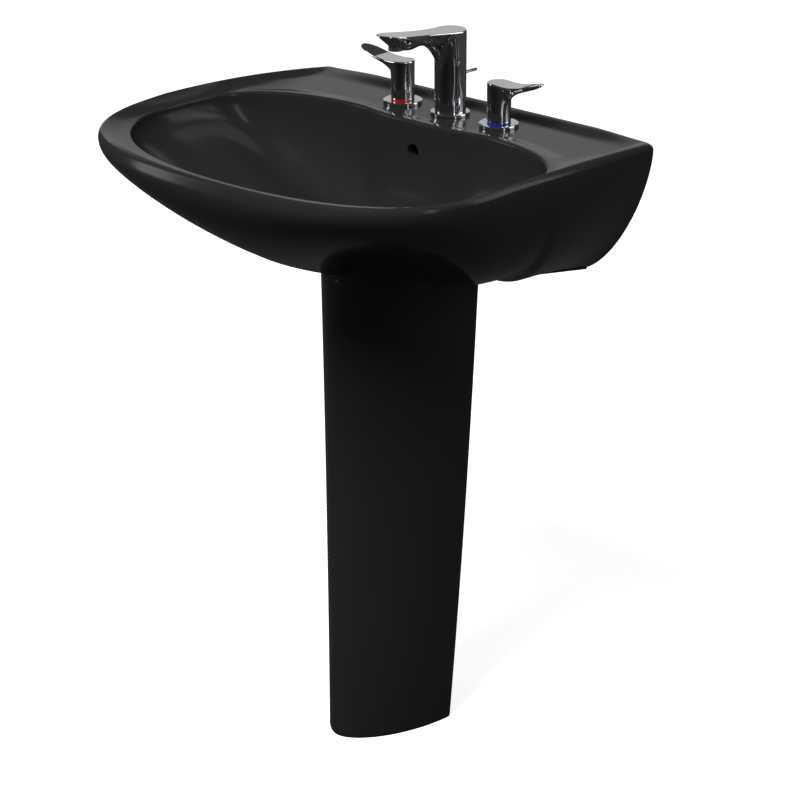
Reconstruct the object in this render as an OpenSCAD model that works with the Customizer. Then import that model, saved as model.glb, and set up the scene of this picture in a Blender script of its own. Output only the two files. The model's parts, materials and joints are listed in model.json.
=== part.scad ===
// Pedestal lavatory: a glazed basin on a hollow pedestal, with a three-hole
// faucet, a lift rod and a pop-up drain. Millimetres, +Z up, front towards -Y.
// The origin is on the floor, on the centre plane, halfway from front to wall.

/* [Basin] */
// Half of the depth from the front of the rim to the wall
half_depth = 273; // [225:0.5:330]
// Widest half width, along the crest of the rim
rim_half_w = 316; // [265:1:380]
// Half width of the crest where it meets the wall
wall_half_w = 291; // [244:1:350]
// Height of the flat deck above the top of the pedestal
deck_rise = 187; // [180:1:205]
// Depth of the deck, from the wall to the back of the bowl
deck_depth = 131; // [124:0.5:138]
// Thickness of the deck
deck_t = 14; // [11:0.5:18]
// Thickness of the glazed walls
wall_t = 13; // [10:0.5:16]
// Depth of the bowl from the deck to its floor
bowl_depth = 132; // [120:1:136]
// Width of the dished rim at the front
rim_band = 34; // [28:1:42]
// Radius of the overflow hole
overflow_r = 10; // [7:0.5:12]
// Distance between the two holes for the wall bolts
wall_bolt_span = 280; // [230:1:320]
// Radius of the holes for the wall bolts
wall_bolt_r = 6; // [4:0.5:8]

/* [Pedestal] */
// Height of the pedestal
pedestal_h = 679; // [600:1:760]
// Half width of the top of the pedestal
ped_top_w = 118; // [98:1:142]
// Half width of the foot of the pedestal
ped_foot_w = 78.5; // [65:0.5:95]
// Depth of the top of the pedestal
ped_top_d = 149; // [124:1:160]
// Depth of the foot of the pedestal
ped_foot_d = 151.5; // [126:0.5:180]
// Radius of the floor bolt hole
floor_bolt_r = 5; // [3:0.5:8]

/* [Faucet] */
// Distance between the axes of the two handles
spread = 176; // [150:1:212]
// Distance from the wall to the line of the three holes
faucet_back = 71; // [66:0.5:78]
// Radius of the three round flanges
flange_r = 27.5; // [23:0.5:30]
// Thickness of the flanges
flange_t = 5; // [4:0.5:7]
// Radius of a handle's round column
column_r = 16.5; // [14.5:0.5:19]
// Reach of a lever from its axis to its tip
lever_reach = 76; // [62:1:90]
// Height of a handle's column above the deck
handle_h = 63; // [52:1:76]
// Radius of the spout's column
spout_r = 22; // [19:0.5:24]
// Height of the spout above the deck at its column
spout_h = 119; // [100:1:142]
// Reach of the spout from its axis to its tip
spout_reach = 142; // [118:1:170]
// Radius of a valve body where it passes the deck
valve_r = 13; // [11:0.5:14]
// Radius of the stems that the handles turn
stem_r = 6; // [5:0.25:7]
// Radius of the threaded supply inlets
inlet_r = 10.25; // [8:0.25:11]

/* [Drain] */
// Distance from the wall to the drain
drain_back = 221; // [214:1:228]
// Radius of the drain body's barrel
drain_r = 20.5; // [18.5:0.5:22]
// Radius of the drain flange
drain_flange_r = 31; // [27:0.5:36]
// Outside radius of the tailpiece
tail_r = 15.9; // [13:0.1:17]
// Travel of the lift rod
lift_travel = 22; // [18:1:26]
// Radius of the lift rod
lift_rod_r = 2.4; // [2:0.1:2.6]

/* [Hidden] */
$fn = 48;

// Clearances
gap = 0.3;        // between pieces that only meet
running = 0.05;   // radial, between a shaft and its bearing
eps = 0.01;

// Finishes
glaze = [0.02, 0.02, 0.022];
chrome = [0.82, 0.83, 0.85];
brass = [0.78, 0.63, 0.32];
rubber = [0.09, 0.09, 0.09];
steel = [0.62, 0.64, 0.66];

// ---- Small helpers -------------------------------------------------------
function clamp(t) = min(1, max(0, t));
function smooth(t) = let (c = clamp(t)) c * c * (3 - 2 * c);
function mix(a, b, t) = a + (b - a) * t;
function unit2(v) = v / norm([v.x, v.y]);
function bend(t, p) = pow(max(0, t), 2 / p);

// Value at s of a list of [station, value] pairs, eased from one to the next
function station(s, t) = max([for (i = [0:len(t) - 2]) if (s >= t[i][0] - eps / 10) i]);
function along(s, t) =
  let (i = station(s, t))
  mix(t[i][1], t[i + 1][1], smooth((s - t[i][0]) / (t[i + 1][0] - t[i][0])));

// Faces of a grid of rings: every ring is closed, and the rings close on each
// other when loop is true
function grid_faces(rings, n, loop) = [
  for (j = [0:rings - (loop ? 1 : 2)], i = [0:n - 1], k = [0, 1])
    let (a = j * n + i, b = j * n + (i + 1) % n)
    let (c = ((j + 1) % rings) * n + i, d = ((j + 1) % rings) * n + (i + 1) % n)
    k == 0 ? [a, b, c] : [b, d, c]
];
module ring_solid(pts) {
  n = len(pts[0]);
  faces = [for (f = grid_faces(len(pts), n, true)) [f[2], f[1], f[0]]];
  polyhedron([for (ring = pts, p = ring) p], faces, convexity = 10);
}

// A loft through closed rings, with a flat fan at each end
module loft(pts) {
  n = len(pts[0]);
  m = len(pts);
  polyhedron(
    [for (ring = pts, p = ring) p],
    concat(grid_faces(m, n, false), [[for (i = [n - 1:-1:0]) i]], [[for (i = [0:n - 1]) (m - 1) * n + i]]),
    convexity = 6
  );
}

module tube(r, bore, h) {
  difference() {
    cylinder(r = r, h = h);
    translate([0, 0, -1]) cylinder(r = bore, h = h + 2);
  }
}
module hex(across, h) { cylinder(r = across / sqrt(3), h = h, $fn = 6); }
module hex_nut(across, bore, h) {
  difference() {
    hex(across, h);
    translate([0, 0, -1]) cylinder(r = bore, h = h + 2);
  }
}
// Turns a piece drawn along +Z to lie along +Y
module lie_back() { rotate([-90, 0, 0]) children(); }

// ---- Basin ---------------------------------------------------------------
// Half of every outline runs from the front centre to the wall corner, with s
// from 0 to 1, and then along the wall to its centre, with u from 0 to 1.
wall_y = half_depth;
deck_z = pedestal_h + deck_rise;     // top of the flat deck
widest_y = -0.127 * half_depth;      // where the rim is widest
front_share = 0.6;                   // part of s that is the front curve
corner_share = 0.72;                 // part of the half outline before the wall
half_points = 30;
brow = 5;                            // how far the rim swells out below its crest at the front

crest_power = 2.7;
crest_front = half_depth - brow;
crest_front_z = deck_z + 12;
crest_side_z = deck_z + 18;
crest_corner_z = deck_z + 2.5;
crest_wall_z = deck_z + 6;
wall_round = 6;                      // rounding of the top edge at the wall

function crest(s, u) =
  let (a = clamp(s / front_share) * 90, k = clamp((s - front_share) / (1 - front_share)))
  let (rear = s > front_share)
  let (side_x = rim_half_w - (rim_half_w - wall_half_w) * pow(k, 2.21))
  let (front_y = widest_y - (widest_y + crest_front) * bend(cos(a), crest_power))
  let (x = rear ? side_x : rim_half_w * bend(sin(a), crest_power))
  let (y = rear ? mix(widest_y, wall_y - wall_round, k) : front_y)
  let (f = (y + crest_front) / (widest_y + crest_front))
  let (front_z = mix(crest_front_z, crest_side_z, pow(max(f, 0), 1.5)))
  let (z = rear ? mix(crest_side_z, crest_corner_z, k * k) : front_z)
  [x * (1 - u), y, mix(z, crest_wall_z, smooth(u * 3))];

// Top of the china seat on the pedestal, and the plan of the pedestal there
collar_z = pedestal_h + gap;
ped_power = 1.8;
ped_top_y = wall_y - 143.5;          // back edge of the pedestal's top
collar_share = 0.70;                 // part of s that ends on the collar
foot_z = pedestal_h - 10;            // lowest edge of the basin, at the wall
foot_w = wall_half_w * 0.663;        // its half width there
crease_front = 8;                    // height of the hull above the collar's foot
crease_corner = 4;
crease_swell = 37;
arch_rise = 106;                     // rise of the arch in the back wall

function section(w, back, d, power, a) = [w * bend(sin(a), power), back - d * bend(cos(a), power)];

// Edge where the hull ends: on the collar, then along the side, then the arch
function hull_end(s, u) =
  let (a = clamp(s / collar_share) * 90, k = clamp((s - collar_share) / (1 - collar_share)))
  let (c = section(ped_top_w, ped_top_y, ped_top_d, ped_power, a))
  let (x = mix(c.x, foot_w, k), y = mix(c.y, wall_y, k))
  let (swell = crease_swell * sin(2 * a) * (1 - smooth((a - 30) / 50)))
  let (lift = mix(crease_front, crease_corner, pow(sin(a), 2)))
  let (z = mix(collar_z + lift + swell, foot_z + 3, edge_drop(k)))
  [x * (1 - u), y, mix(z, foot_z + arch_rise, smooth(u * 2))];

// The edge drops to its lowest level just behind the collar
function edge_drop(k) = smooth(k / 0.1);
// Bottom edge, and its inner side one wall further in
function bottom_edge(s, u, inset) =
  let (a = clamp(s / collar_share) * 90, k = clamp((s - collar_share) / (1 - collar_share)))
  let (c = section(ped_top_w - inset, ped_top_y - inset * 0.02, ped_top_d - inset, ped_power, a))
  let (in = k + u > 0 ? min(inset, wall_t - 1) : 0)
  let (x = mix(c.x, foot_w - inset, k), y = mix(c.y, wall_y - in, k))
  let (z = mix(collar_z, foot_z, edge_drop(k)))
  [x * (1 - u), y, mix(z, foot_z + arch_rise - 3, smooth(u * 2))];

// Outer corner of the rim below the crest
function shoulder(s, u) =
  let (c = crest(s, u), e = hull_end(s, u), d = unit2([c.x - e.x, c.y - e.y]))
  let (b = along(s, [[0, brow], [0.55, 7], [1, 9]]) * (1 - smooth(u * 4)))
  let (corner = smooth((s - 0.85) / 0.15))
  let (side = u > 0 ? [1, 0] : [mix(d.x, 1, corner), d.y * (1 - corner)])
  [c.x + side.x * b, min(wall_y, c.y + side.y * b + wall_round * corner), c.z - shoulder_drop(s, u)];
function shoulder_drop(s, u) = mix(along(s, [[0, 18], [0.5, 8], [1, 10]]), 7, smooth(u * 4));

// The hull falls from the shoulder to its end on a rounded curve
hull_round = [[0, 1.75], [0.2, 1.6], [0.4, 1.8], [0.65, 2.35], [1, 1.5]];
hull_cut = [[0, 0.7], [0.3, 0.8], [0.6, 0.97], [1, 0.985]];
function fall(h, p) = 1 - pow(max(0, 1 - pow(h, p)), 1 / p);
function hull(s, u, h) =
  let (a = shoulder(s, u), b = hull_end(s, u), p = along(s, hull_round), c = along(s, hull_cut))
  let (g = fall(h * c, p) / fall(c, p))
  [mix(a.x, b.x, g), mix(a.y, b.y, g), mix(a.z, b.z, h)];

// Inner edge of the rim, round the bowl
lip_half_w = rim_half_w - 16;
lip_back = wall_y - deck_depth;
lip_power = 3.2;
lip_corner = 45;
lip_swell = 14.5;                    // the lip comes forward in front of the spout
function lip_y(x) =
  widest_y + (lip_back - widest_y) * pow(max(0, 1 - pow(abs(x) / lip_half_w, lip_power)), 1 / lip_power)
  - lip_swell * exp(-pow(x / 95, 4));
function lip(s, u) =
  let (a = clamp(s / front_share) * 90, b = clamp((s - front_share) / (1 - front_share)) * lip_corner)
  let (front_d = widest_y + crest_front - rim_band)
  let (front = [lip_half_w * bend(sin(a), 2.3), widest_y - front_d * bend(cos(a), 2.3)])
  let (x = s > front_share ? lip_half_w * bend(cos(b), lip_power) * (1 - u) : front.x)
  let (y = s > front_share ? lip_y(x) : front.y)
  [x, y, deck_z + along(s, [[0, 2], [0.6, 4], [1, 5]])];

drain_z = deck_z - bowl_depth;       // floor of the bowl at the drain
drain_y = wall_y - drain_back;
bowl_round = [[0, 1.8], [0.3, 1.7], [0.6, 1.7], [1, 2.3]];
function drain_ring(s, u, r, z) =
  let (a = -90 + 180 * (s * corner_share + u * (1 - corner_share)))
  [r * cos(a), drain_y + r * sin(a), z];

// A point on a bowl surface, a = 0 at the top edge and 90 at the drain
function bowl_point(top, foot, p, a) =
  let (g = 1 - bend(cos(a), p), h = bend(sin(a), p))
  [mix(top.x, foot.x, g), mix(top.y, foot.y, g), mix(top.z, foot.z, h)];

function rim_way(s, u) = let (a = lip(s, u), b = crest(s, u)) unit2([b.x - a.x, b.y - a.y]);
function pushed(p, way, out, z) = [p.x + way.x * out, p.y + way.y * out, z];

// Top of the rim and deck from the lip, t = 0, to the crest, t = 1
plateau = [0.24, 0.72];              // the flat part of the deck
function rim_top(s, u, t) =
  let (a = pushed(lip(s, u), rim_way(s, u), 4, lip(s, u).z), b = crest(s, u))
  let (rear = smooth((s - 0.8) / 0.2))
  let (dish = mix(a.z, b.z, t) - 1.6 * sin(180 * t))
  let (deck = t < plateau[0] ? mix(a.z, deck_z, smooth(t / plateau[0]))
    : mix(deck_z, b.z, smooth((t - plateau[1]) / (1 - plateau[1]))))
  [mix(a.x, b.x, t), mix(a.y, b.y, t), mix(dish, deck, rear)];

// Outer side of the china of the bowl, where the hollow behind it shows it
ceiling_z = deck_z - deck_t;
seat_z = drain_z - 23;               // flat underside round the drain
function bowl_back(s, u, a) =
  let (l = lip(s, u), way = rim_way(s, u), top = pushed(l, way, wall_t, ceiling_z + 5))
  bowl_point(top, drain_ring(s, u, 34, seat_z), along(s, bowl_round), a);

// Inner side of the wall, where the hollow meets it at the height z
side_inset = wall_t - 2;
function hollow_edge(s, z) =
  let (a = shoulder(s, 0), b = hull_end(s, 0), p = hull(s, 0, clamp((a.z - z + side_inset) / (a.z - b.z))))
  [p.x - side_inset, min(p.y, wall_y - wall_t + 1), z];
hollow_levels = 9;
hollow_low = foot_z - 30;
hollow_share = [0.55, 1];
hollow_points = 14;
plan_points = 24;

// One cross-section of the china, from the drain over the rim and back
bowl_steps = 10;
hull_steps = 10;
top_stations = [0.08, 0.16, 0.24, 0.48, 0.72, 0.79, 0.86, 0.93, 1];
function china_loop(s, u) =
  let (l = lip(s, u), way = rim_way(s, u), c = crest(s, u), sh = shoulder(s, u))
  let (top = [l.x, l.y, l.z - 4], foot = drain_ring(s, u, drain_r - 1, drain_z), p = along(s, bowl_round))
  concat(
    [foot],
    [for (k = [bowl_steps - 1:-1:0]) bowl_point(top, foot, p, 90 * k / bowl_steps)],
    [pushed(l, way, 1.2, l.z - 1.2), rim_top(s, u, 0)],
    [for (t = top_stations) rim_top(s, u, t)],
    [for (a = [35, 65]) [mix(c.x, sh.x, sin(a)), mix(c.y, sh.y, sin(a)), mix(c.z, sh.z, 1 - cos(a))]],
    [for (k = [0:hull_steps]) hull(s, u, sin(90 * k / hull_steps))],
    [bottom_edge(s, u, 0.8), drain_ring(s, u, drain_r - 1, collar_z)]
  );
function share_of(i) = i / half_points;
function loop_at(f) = china_loop(clamp(f / corner_share), clamp((f - corner_share) / (1 - corner_share)));
function mirrored(loop) = [for (p = loop) [-p.x, p.y, p.z]];
china_loops = concat(
  [for (i = [0:half_points]) loop_at(share_of(i))],
  [for (i = [half_points - 1:-1:1]) mirrored(loop_at(share_of(i)))]
);

// The hollow under the deck, open below, and the well inside the collar
module hollow() {
  difference() {
    intersection() {
      loft([for (k = [0:hollow_levels])
        let (z = mix(hollow_low, ceiling_z, k / hollow_levels))
        let (side = [for (i = [0:hollow_points])
          hollow_edge(mix(hollow_share[0], hollow_share[1], i / hollow_points), z)])
        concat(mirrored(side), [for (i = [hollow_points:-1:0]) side[i]])
      ]);
      translate([-rim_half_w, ped_top_y + 1, 0]) cube([2 * rim_half_w, 2 * half_depth, deck_z]);
    }
    loft([for (a = [0, 15, 30, 42, 54, 64, 74, 82, 90])
      let (right = [for (i = [0:half_points]) let (f = share_of(i))
        bowl_back(clamp(f / corner_share), clamp((f - corner_share) / (1 - corner_share)), a)])
      concat(right, [for (i = [half_points - 1:-1:1]) [-right[i].x, right[i].y, right[i].z]])
    ]);
  }
  translate([0, 0, hollow_low]) linear_extrude(seat_z - hollow_low) plan(wall_t);
  translate([0, 0, hollow_low]) linear_extrude(collar_z - hollow_low) plan(-1);
}
// Plan of the collar, drawn in from the outside of the pedestal by inset
module plan(inset) {
  right = [for (k = [0:plan_points])
    section(ped_top_w - inset, ped_top_y + 2, ped_top_d - inset + 2, ped_power, 90 * k / plan_points)];
  polygon(concat(right, [for (k = [plan_points:-1:1]) [-right[k].x, right[k].y]]));
}

faucet_y = wall_y - faucet_back;
handle_x = spread / 2;
handle_hole_r = valve_r + 3;
spout_hole_r = 17.5;
overflow_z = deck_z - 37;
wall_bolt_z = deck_z - 51;
drain_hole_r = drain_r + 2;
drain_seat_z = drain_z - 2;

module basin() {
  color(glaze) difference() {
    union() {
      resize([0, 0, 0]) difference() {
        ring_solid(china_loops);
        hollow();
      }
      // Boss behind the overflow hole
      translate([0, lip_y(0) + 2, overflow_z]) lie_back() cylinder(r = overflow_r + 7, h = wall_t + 10);
    }
    for (x = [-handle_x, handle_x])
      translate([x, faucet_y, ceiling_z - 5]) cylinder(r = handle_hole_r, h = deck_t + 15);
    translate([0, faucet_y, ceiling_z - 5]) cylinder(r = spout_hole_r, h = deck_t + 15);
    translate([0, drain_y, drain_z - 40]) cylinder(r = drain_hole_r, h = 60);
    translate([0, drain_y, drain_seat_z]) cylinder(r = drain_flange_r + 1, h = 20);
    translate([0, lip_y(0) - 30, overflow_z]) lie_back() cylinder(r = overflow_r, h = 30 + wall_t + 7);
    for (x = [-1, 1])
      translate([x * wall_bolt_span / 2, wall_y - wall_t - 20, wall_bolt_z]) lie_back()
        cylinder(r = wall_bolt_r, h = wall_t + 40);
  }
}

// ---- Pedestal ------------------------------------------------------------
ped_wall = 12;
ped_return = 26;                     // width of the flanges that stiffen the back
ped_foot_y = ped_top_y - 9;          // back edge of the foot
ped_points = 28;
ped_levels = [0, 0.03, 0.1, 0.2, 0.3, 0.4, 0.5, 0.6, 0.7, 0.8, 0.9, 0.985, 1];
function ped_mix(a, b, s, sag) = mix(a, b, s - sag * s * (1 - s));
function ped_w(s) = ped_mix(ped_top_w, ped_foot_w, s, 0.2) - ped_ease(s);
function ped_d(s) = ped_mix(ped_top_d, ped_foot_d, s, 0.77) - 2 * ped_ease(s);
function ped_y(s) = ped_mix(ped_top_y, ped_foot_y, s, 0.77) - ped_ease(s);
function ped_ease(s) = s == 1 ? 2.5 : s == 0 ? 0.8 : 0;
function ped_arc(s, inset) = [
  for (k = [0:ped_points])
    let (a = -90 + 180 * k / ped_points, w = ped_w(s) - inset, y = ped_y(s) - inset, d = ped_d(s) - 2 * inset)
    [sign(a) * w * bend(abs(sin(a)), ped_power), y - d * bend(cos(a), ped_power), pedestal_h * (1 - s)]
];
function ped_path(s, inset) =
  let (x = ped_w(s) - ped_return, y = ped_y(s) - inset, z = pedestal_h * (1 - s))
  concat([[-x, y, z]], ped_arc(s, inset), [[x, y, z]]);
function ped_ring(s) =
  let (a = ped_path(s, ped_wall))
  concat(ped_path(s, 0), [for (i = [len(a) - 1:-1:0]) a[i]]);
web_t = 12;
web_depth = 48;
floor_bolt_y = ped_foot_y - 30;

module pedestal_shell() {
  m = len(ped_levels);
  n = len(ped_ring(0));
  h = n / 2;
  cap = [
    for (i = [0:h - 2], k = [0, 1]) k == 0 ? [i, n - 1 - i, i + 1] : [i + 1, n - 1 - i, n - 2 - i]
  ];
  low = [for (f = cap) [for (i = [2:-1:0]) f[i] + (m - 1) * n]];
  faces = concat(cap, grid_faces(m, n, false), low);
  polyhedron([for (s = ped_levels, p = ped_ring(s)) p], faces, convexity = 6);
}
module pedestal() {
  color(glaze) difference() {
    union() {
      pedestal_shell();
      // Web across the foot, for the floor bolt
      intersection() {
        linear_extrude(web_t) polygon([for (p = ped_arc(1, ped_wall / 2)) [p.x, p.y]]);
        translate([-ped_foot_w, ped_foot_y - web_depth, 0]) cube([2 * ped_foot_w, web_depth, web_t]);
      }
    }
    translate([0, floor_bolt_y, -1]) cylinder(r = floor_bolt_r, h = web_t + 2);
  }
}

// ---- Handles -------------------------------------------------------------
flange_top = deck_z + flange_t;
ring_t = 2;
handle_z = flange_top + ring_t + gap;
stem_top = deck_z + handle_h - 20;
leaf_steps = 14;
leaf_side = 7;

// A lever seen from above: round behind its axis, a leaf in front of it
function leaf_w(x) = x < 0 ? sqrt(max(0, pow(column_r, 2) - x * x))
  : column_r * sqrt(max(0, 1 - pow(x / lever_reach, 4.5)));
leaf_rise = 10;                      // rise of the leaf's tip over the column
function leaf_top(x) =
  deck_z + handle_h - 2 + (x < 0 ? 0 : leaf_rise * pow(x / lever_reach, 2)) - 2 * sin(180 * clamp(x / 60));
function leaf_t(x) = 2.6 + 13 * exp(-max(0, x - column_r + 4) / 12);
function leaf_ring(x) = let (w = max(0.6, leaf_w(x)), z = leaf_top(x), t = leaf_t(x)) concat(
  [for (k = [0:leaf_side]) let (v = -1 + 2 * k / leaf_side) [x, w * v, z - 1.2 * (1 - v * v)]],
  [for (k = [1:leaf_side - 1]) let (a = 180 * k / leaf_side) [x, w * cos(a), z - 1.2 - (t - 1.2) * sin(a)]]
);
module lever() {
  loft([for (k = [0:leaf_steps])
    leaf_ring(mix(-column_r + 0.05, lever_reach - 0.05, (1 - cos(180 * k / leaf_steps)) / 2))]);
}
module handle() {
  difference() {
    union() {
      lever();
      translate([0, 0, handle_z]) cylinder(r = column_r, h = deck_z + handle_h - 8 - handle_z);
    }
    translate([0, 0, handle_z - 1]) cylinder(r = stem_r + running, h = stem_top - handle_z + 1 + gap);
    translate([0, 0, handle_z - 1]) cylinder(r = column_r - 3, h = 5);
    translate([0, 0, handle_z + 12]) lie_back() cylinder(r = 2, h = column_r + 5);
  }
}
module set_screw() {
  translate([0, stem_r + running, handle_z + 12]) lie_back() difference() {
    cylinder(r = 2 - running, h = column_r - stem_r - 1.5);
    translate([0, 0, column_r - stem_r - 4]) cylinder(r = 1, h = 5, $fn = 6);
  }
}
module stem() {
  translate([0, 0, deck_z - 22]) cylinder(r = stem_r, h = stem_top - deck_z + 22);
}
module index_ring() { translate([0, 0, flange_top]) tube(column_r, valve_r + 1, ring_t); }
module flange(bore) {
  translate([0, 0, deck_z]) rotate_extrude() polygon([
    [bore, 0], [flange_r - 0.6, 0], [flange_r, 0.6], [flange_r, flange_t - 1.4],
    [flange_r - 0.5, flange_t - 0.5], [flange_r - 1.6, flange_t], [bore, flange_t]
  ]);
}

// Valve body: barrel through the deck, side port to the tee, inlet below
port_z = deck_z - 87;
port_y = faucet_y - 5;
port_r = 8;
inlet_z = deck_z - 118;
module side_port(side, r, h) {
  translate([0, port_y - faucet_y, port_z]) rotate([0, side * 90, 0]) cylinder(r = r, h = h);
}
module valve_body(side) {
  difference() {
    union() {
      translate([0, 0, inlet_z + 24]) cylinder(r = valve_r, h = flange_top - inlet_z - 24);
      translate([0, 0, port_z - 14]) cylinder(r = valve_r + 2.5, h = 28);
      translate([0, 0, inlet_z]) cylinder(r = inlet_r, h = 26);
      side_port(side, port_r, port_reach);
    }
    translate([0, 0, deck_z - 60]) cylinder(r = stem_r + running, h = 70);
    translate([0, 0, inlet_z - 1]) cylinder(r = inlet_r - 3, h = port_z - inlet_z + 12);
    side_port(side, port_r - 2.5, port_reach + 5);
  }
}
module at_hot() { translate([-handle_x, faucet_y, 0]) children(); }
module at_cold() { translate([handle_x, faucet_y, 0]) children(); }

module hot_handle() { color(chrome) at_hot() mirror([1, 0, 0]) handle(); }
module cold_handle() { color(chrome) at_cold() handle(); }
module hot_set_screw() { color(steel) at_hot() set_screw(); }
module cold_set_screw() { color(steel) at_cold() set_screw(); }
module hot_stem() { color(brass) at_hot() stem(); }
module cold_stem() { color(brass) at_cold() stem(); }
module hot_index_ring() { color([0.75, 0.05, 0.05]) at_hot() index_ring(); }
module cold_index_ring() { color([0.1, 0.1, 0.7]) at_cold() index_ring(); }
module hot_flange() { color(chrome) at_hot() flange(valve_r + gap); }
module cold_flange() { color(chrome) at_cold() flange(valve_r + gap); }
module hot_valve_body() { color(brass) at_hot() valve_body(1); }
module cold_valve_body() { color(brass) at_cold() valve_body(-1); }

washer_t = 3;
nut_t = 9;
module valve_washers() {
  color(rubber) for (x = [-handle_x, handle_x])
    translate([x, faucet_y, ceiling_z - washer_t]) tube(handle_hole_r + 7, valve_r + gap, washer_t);
}
module valve_nuts() {
  color(brass) for (x = [-handle_x, handle_x])
    translate([x, faucet_y, ceiling_z - washer_t - nut_t])
      hex_nut(valve_r * 2 + 10, valve_r + running, nut_t);
}

// ---- Bridge between the valves and the spout -----------------------------
tee_r = 12;
tee_arm = 20;
shank_y = port_y;
shank_r = 8;
tube_r = 5;
tube_from = tee_arm + gap;
port_reach = valve_r + 12;
port_x = handle_x - port_reach;
module bridge_tubes() {
  color(brass) for (x = [-1, 1])
    translate([x * tube_from, port_y, port_z]) rotate([0, x * 90, 0])
      tube(tube_r, tube_r - 1, port_x - gap - tube_from);
}
nut_grip = 8;                        // how far a nut reaches over the port it is screwed to
module bridge_nut() {
  difference() {
    hex(21, 13);
    translate([0, 0, -1]) cylinder(r = port_r + running, h = nut_grip + 1.3);
    translate([0, 0, -1]) cylinder(r = tube_r + running, h = 15);
  }
}
module bridge_nuts() {
  color(brass) for (side = [0, 180]) translate([0, port_y, port_z]) rotate([0, 0, side]) {
    translate([tee_arm - nut_grip, 0, 0]) rotate([0, 90, 0]) bridge_nut();
    translate([port_x + nut_grip, 0, 0]) rotate([0, -90, 0]) bridge_nut();
  }
}
module mixing_tee() {
  color(brass) translate([0, shank_y, port_z]) difference() {
    union() {
      translate([0, 0, -14]) cylinder(r = tee_r, h = 32);
      rotate([0, 90, 0]) translate([0, 0, -tee_arm]) cylinder(r = port_r, h = 2 * tee_arm);
    }
    translate([0, 0, -8]) cylinder(r = shank_r + running, h = 40);
    rotate([0, 90, 0]) translate([0, 0, -tee_arm - 1]) cylinder(r = 4, h = 2 * tee_arm + 2);
  }
}

// ---- Spout ---------------------------------------------------------------
rod_y = faucet_y + 13;               // axis of the lift rod
rod_pull_z = deck_z + 53;            // height of the rod's finger pull, pushed down
spout_steps = 18;
spout_side = 8;

function reach_share(y) = clamp((faucet_y - y) / spout_reach);
// Half width of the top: round on the column, waisted, then round at the tip
function spout_w(y) = let (u = reach_share(y), d = y - faucet_y)
  d > 0 ? sqrt(max(0, pow(spout_r, 2) - d * d))
  : (spout_r - 5.5 * sin(180 * clamp(u / 0.85))) * sqrt(max(0, 1 - pow(u, 7)));
function spout_top(y) = deck_z + spout_h + 17 * pow(reach_share(y), 1.3);
// Underside: an arch from the column, then a beak that rises to the tip
function spout_under(y) =
  let (u = reach_share(y), arch = smooth((u - 0.13) / 0.25), beak = pow(clamp((u - 0.72) / 0.28), 1.6))
  mix(mix(deck_z + spout_h - 55, deck_z + spout_h - 10, arch), spout_top(y) - 2, beak);
function spout_ring(y) =
  let (w = max(0.5, spout_w(y)), z = spout_top(y), low = min(spout_under(y), z - 1.5)) concat(
  [for (k = [0:spout_side]) let (v = -1 + 2 * k / spout_side) [w * v, y, z + 0.8 * (1 - v * v)]],
  [for (k = [1:spout_side - 1])
    let (a = 180 * k / spout_side) [w * cos(a), y, z - (z - low) * pow(sin(a), 0.8)]]
);
function spout_at(k) =
  mix(faucet_y + spout_r - 0.05, faucet_y - spout_reach + 0.05, (1 - cos(180 * k / spout_steps)) / 2);
outlet_y = faucet_y - spout_reach * 0.78;
outlet_z = spout_under(outlet_y);
aerator_r = 9.5;

module spout_body() {
  color(chrome) difference() {
    union() {
      loft([for (k = [0:spout_steps]) spout_ring(spout_at(k))]);
      translate([0, faucet_y, flange_top + gap])
        cylinder(r = spout_r, h = deck_z + spout_h - 12 - flange_top);
    }
    // Waterway up the column, and the socket of the shank
    translate([0, shank_y, flange_top - 1]) cylinder(r = shank_r + running, h = 22);
    translate([0, shank_y, flange_top - 1]) cylinder(r = 5, h = 90);
    // Seat of the aerator
    translate([0, outlet_y, outlet_z - 8]) cylinder(r = aerator_r + running, h = 16);
    // Bore and slot of the lift rod
    translate([0, rod_y, flange_top - 1])
      cylinder(r = lift_rod_r + 0.4, h = rod_pull_z + lift_travel + 5 - flange_top);
    translate([-lift_rod_r - 0.2, rod_y, rod_pull_z - lift_rod_r - 0.6])
      cube([2 * lift_rod_r + 0.4, 30, lift_travel + 2 * lift_rod_r + 1.2]);
  }
}
module spout_flange() {
  color(chrome) translate([0, faucet_y, 0]) difference() {
    flange(spout_r - 8);
    translate([0, rod_y - faucet_y, deck_z - 1]) cylinder(r = lift_rod_r + 0.6, h = flange_t + 2);
  }
}
module aerator() {
  color(steel) translate([0, outlet_y, outlet_z - 0.5]) difference() {
    cylinder(r = aerator_r, h = 8);
    for (r = [2.4, 5.2], k = [0:5])
      rotate(k * 60 + r * 10) translate([r, 0, -1]) cylinder(r = 0.9, h = 12, $fn = 16);
  }
}
module spout_shank() {
  color(brass) translate([0, shank_y, port_z - 8 + gap]) tube(shank_r, 5, flange_top + 19 - port_z + 8);
}
module spout_washer() {
  color(rubber) translate([0, faucet_y, ceiling_z - washer_t]) difference() {
    cylinder(r = spout_hole_r + 6, h = washer_t);
    translate([0, shank_y - faucet_y, -1]) cylinder(r = shank_r + gap, h = washer_t + 2);
    translate([0, rod_y - faucet_y, -1]) cylinder(r = lift_rod_r + 1.2, h = washer_t + 2);
  }
}
module spout_nut() {
  color(brass) translate([0, shank_y, ceiling_z - washer_t - nut_t]) hex_nut(22, shank_r + running, nut_t);
}

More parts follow.
